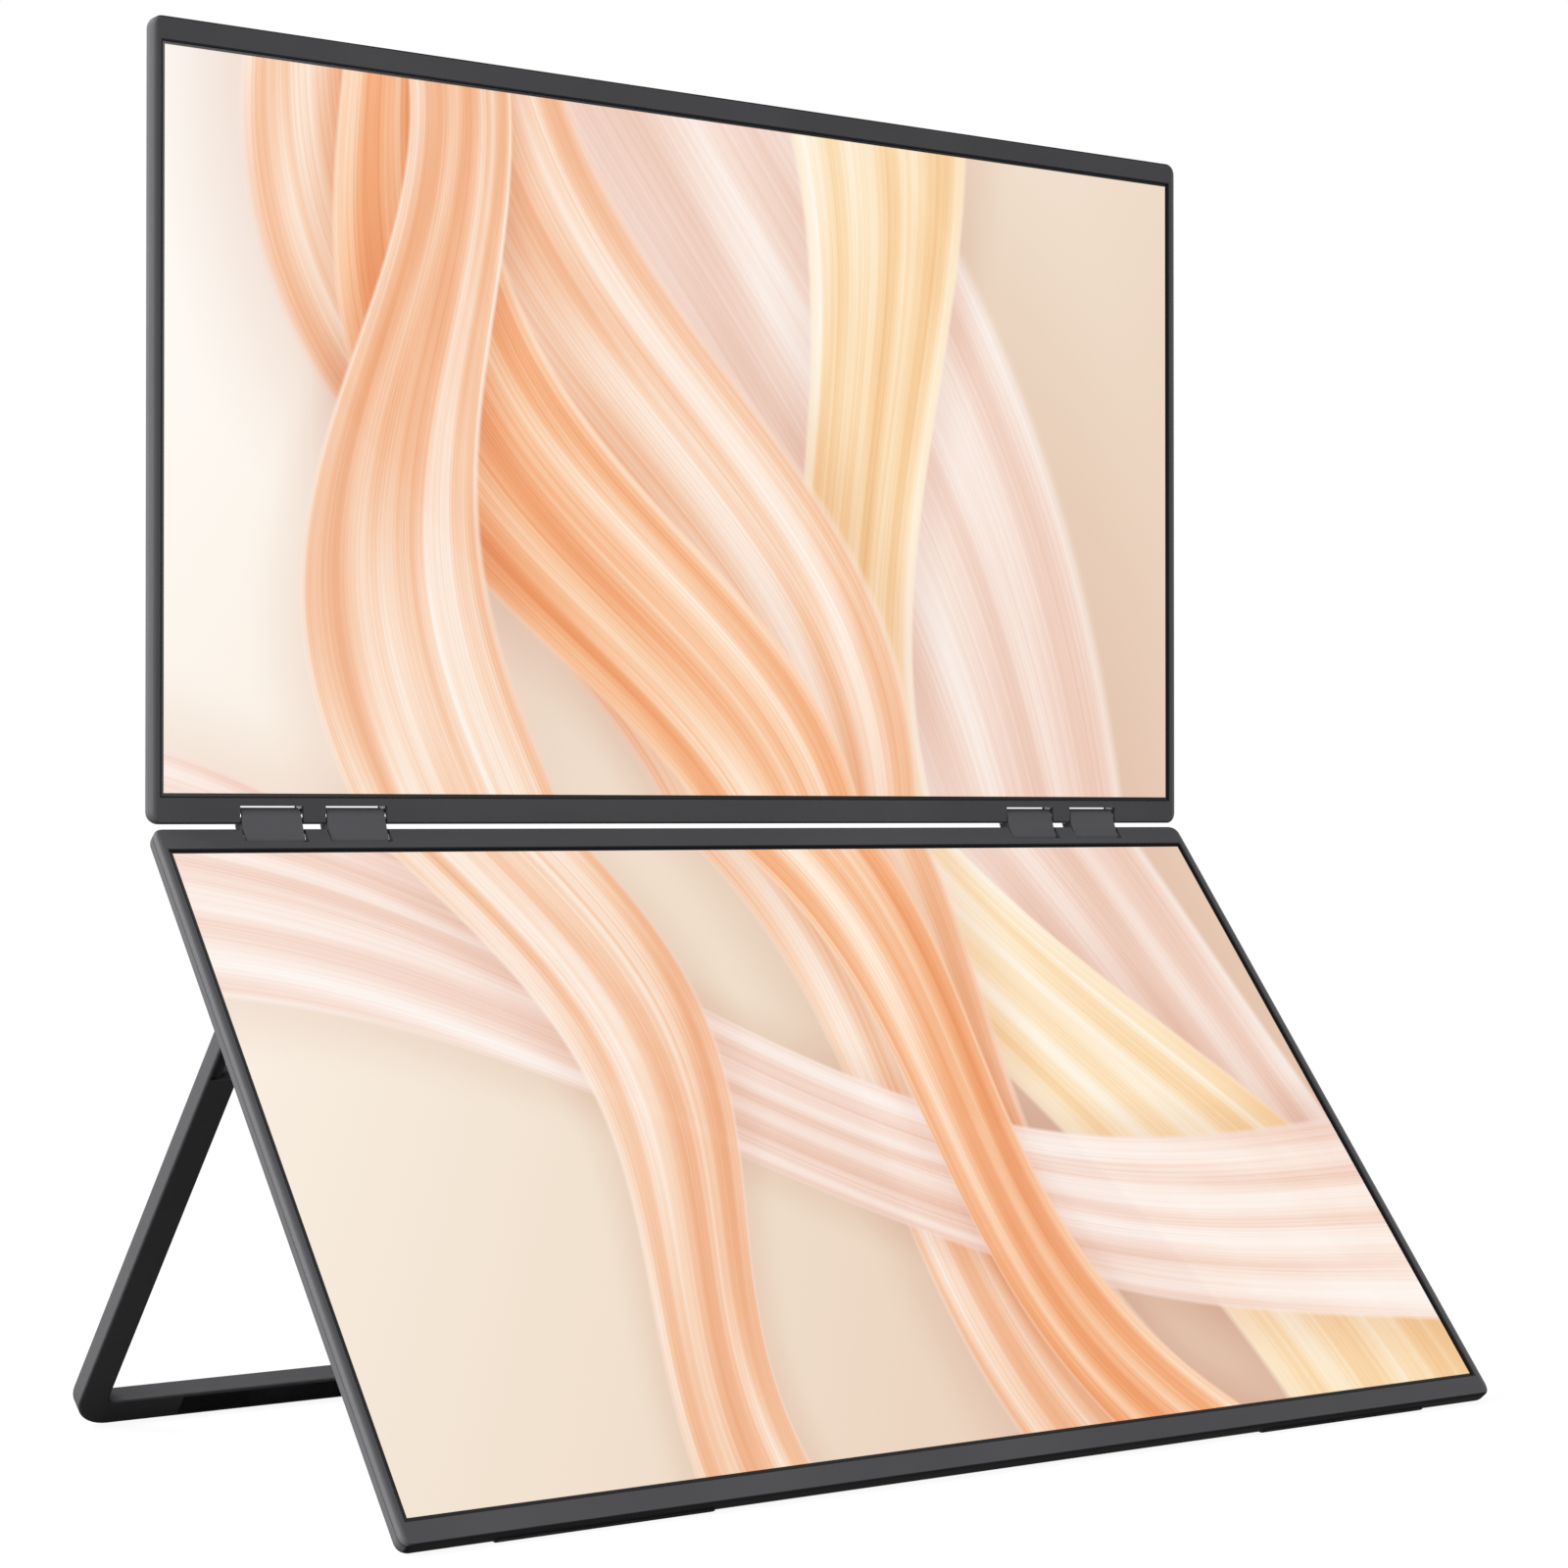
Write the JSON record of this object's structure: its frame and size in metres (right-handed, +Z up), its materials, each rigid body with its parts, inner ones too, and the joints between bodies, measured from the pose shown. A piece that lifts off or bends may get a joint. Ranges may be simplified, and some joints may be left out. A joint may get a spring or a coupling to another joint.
{
  "type": "laptop screen extender",
  "caption": "Folding portable screen extender: a lower screen that leans on a flat-bar kickstand, with an upper screen above it on linked double-axis friction hinges.",
  "frame": {"origin": "on the floor under the middle of the part's bounding box", "axes": "+X to the user's right along the screens' width, -Y towards the user, +Z up"},
  "size_m": [0.3518, 0.2022, 0.3737],
  "materials": {
    "casing_metal": "dark grey satin anodised, fine grain",
    "frame_plastic": "dark grey, fine satin texture",
    "screen_glass": "coated front glass over a lit picture in cream, peach and orange",
    "backlight_tray": "white light guide in its tray",
    "circuit_board": "green solder mask",
    "flex_film": "amber polyimide film",
    "hinge_steel": "stamped, satin",
    "shaft_steel": "ground, bright",
    "screw_steel": "bright",
    "dark_screw_steel": "blackened",
    "housing_plastic": "black, fine texture",
    "speaker_plastic": "black",
    "port_shell": "drawn shell, bright",
    "jack_plastic": "black",
    "switch_plastic": "black",
    "button_plastic": "dark grey, satin",
    "rubber": "black, matt",
    "stand_bracket_metal": "dark grey paint",
    "washer_steel": "spring steel, bright",
    "link_metal": "die-cast, dark grey satin paint",
    "stand_metal": "dark grey anodised, satin"
  },
  "bodies": {
    "lower_screen": {"lower_back_cover": "casing_metal", "lower_bezel": "frame_plastic", "lower_display": "screen_glass", "lower_backlight": "backlight_tray", "lower_driver_board": "circuit_board", "lower_flex_tails": "flex_film", "lower_hinge_brackets": "hinge_steel", "lower_hinge_shafts": "shaft_steel", "lower_bracket_screws": "screw_steel", "back_housing": "housing_plastic", "housing_screws": "dark_screw_steel", "main_board": "circuit_board", "key_board": "circuit_board", "left_speaker": "speaker_plastic", "right_speaker": "speaker_plastic", "usb_c_ports": "port_shell", "video_port": "port_shell", "audio_jack": "jack_plastic", "button_switches": "switch_plastic", "rubber_feet": "rubber", "stand_brackets": "stand_bracket_metal", "stand_bracket_screws": "screw_steel", "stand_pins": "shaft_steel", "stand_washers": "washer_steel"},
    "power_key": {"power_button": "button_plastic"},
    "menu_key": {"menu_rocker": "button_plastic"},
    "hinge_links": {"left_links": "link_metal", "right_links": "link_metal", "friction_washers": "washer_steel"},
    "upper_screen": {"upper_back_cover": "casing_metal", "upper_bezel": "frame_plastic", "upper_display": "screen_glass", "upper_backlight": "backlight_tray", "upper_driver_board": "circuit_board", "upper_flex_tails": "flex_film", "upper_hinge_brackets": "hinge_steel", "upper_hinge_shafts": "shaft_steel", "upper_bracket_screws": "screw_steel"},
    "kickstand": {"stand_frame": "stand_metal", "foot_pad": "rubber"}
  },
  "joints": [
    {"name": "lower_hinge", "type": "hinge", "parent": "lower_screen", "child": "hinge_links", "pos_m": [0, 0.03259, 0.16056], "axis": [1, 0, 0], "range_deg": [-19.8, 70.2]},
    {"name": "upper_hinge", "type": "hinge", "parent": "hinge_links", "child": "upper_screen", "pos_m": [0, 0.03482, 0.16674], "axis": [1, 0, 0], "range_deg": [-19.8, 70.2]},
    {"name": "kickstand_pivot", "type": "hinge", "parent": "lower_screen", "child": "kickstand", "pos_m": [0, 0.00263, 0.115], "axis": [1, 0, 0], "range_deg": [-79.9, 10]},
    {"name": "power_press", "type": "slide", "parent": "lower_screen", "child": "power_key", "axis": [1, 0, 0], "range_m": [0, 0.0003], "stiffness_N_per_m": 600, "springref_m": -0.001},
    {"name": "menu_rock", "type": "hinge", "parent": "lower_screen", "child": "menu_key", "pos_m": [-0.1685, 0.01924, 0.135], "axis": [0, 0.7705, -0.6374], "range_deg": [-2.5, 2.5], "stiffness_Nm_per_rad": 0.02}
  ],
  "couplings": [
    {"joint": "upper_hinge", "follows": "lower_hinge", "ratio": 1}
  ]
}
